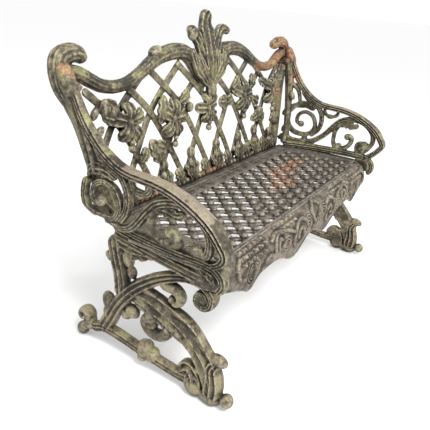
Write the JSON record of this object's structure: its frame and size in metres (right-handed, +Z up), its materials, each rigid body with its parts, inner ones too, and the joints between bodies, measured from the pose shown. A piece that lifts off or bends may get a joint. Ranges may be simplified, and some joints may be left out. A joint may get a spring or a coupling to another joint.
{
  "type": "garden bench",
  "caption": "Two-seat cast-iron garden bench with a raked lattice back of vines and flowers, scrolled arms, a pierced seat with a shaped apron, and scrolled end frames.",
  "frame": {"origin": "on the ground under the middle of the bench's box", "axes": "+X along the seat to the viewer's right, the sitter faces -Y, +Z up"},
  "size_m": [1.2308, 0.539, 0.899],
  "materials": {
    "iron_back": "old outdoor iron, paint gone, lichen and patches of rust",
    "iron_seat": "old outdoor iron, worn grey-brown with a rust patch",
    "iron_ends": "old outdoor iron, paint gone, lichen on the ridges",
    "iron_fixings": "rusty black iron"
  },
  "bodies": {
    "root": {"back_panel": "iron_back", "seat_casting": "iron_seat", "left_arm": "iron_ends", "right_arm": "iron_ends", "left_leg": "iron_ends", "right_leg": "iron_ends", "arm_bolt_left_lower": "iron_fixings", "arm_nut_left_lower": "iron_fixings", "arm_bolt_left_upper": "iron_fixings", "arm_nut_left_upper": "iron_fixings", "leg_bolt_left_rear": "iron_fixings", "leg_washer_left_rear": "iron_fixings", "leg_bolt_left_front": "iron_fixings", "leg_washer_left_front": "iron_fixings", "foot_bolt_left": "iron_fixings", "foot_washer_left": "iron_fixings", "arm_bolt_right_lower": "iron_fixings", "arm_nut_right_lower": "iron_fixings", "arm_bolt_right_upper": "iron_fixings", "arm_nut_right_upper": "iron_fixings", "leg_bolt_right_rear": "iron_fixings", "leg_washer_right_rear": "iron_fixings", "leg_bolt_right_front": "iron_fixings", "leg_washer_right_front": "iron_fixings", "foot_bolt_right": "iron_fixings", "foot_washer_right": "iron_fixings", "seat_bolt_left": "iron_fixings", "seat_nut_left": "iron_fixings", "seat_bolt_middle": "iron_fixings", "seat_nut_middle": "iron_fixings", "seat_bolt_right": "iron_fixings", "seat_nut_right": "iron_fixings"}
  },
  "joints": []
}
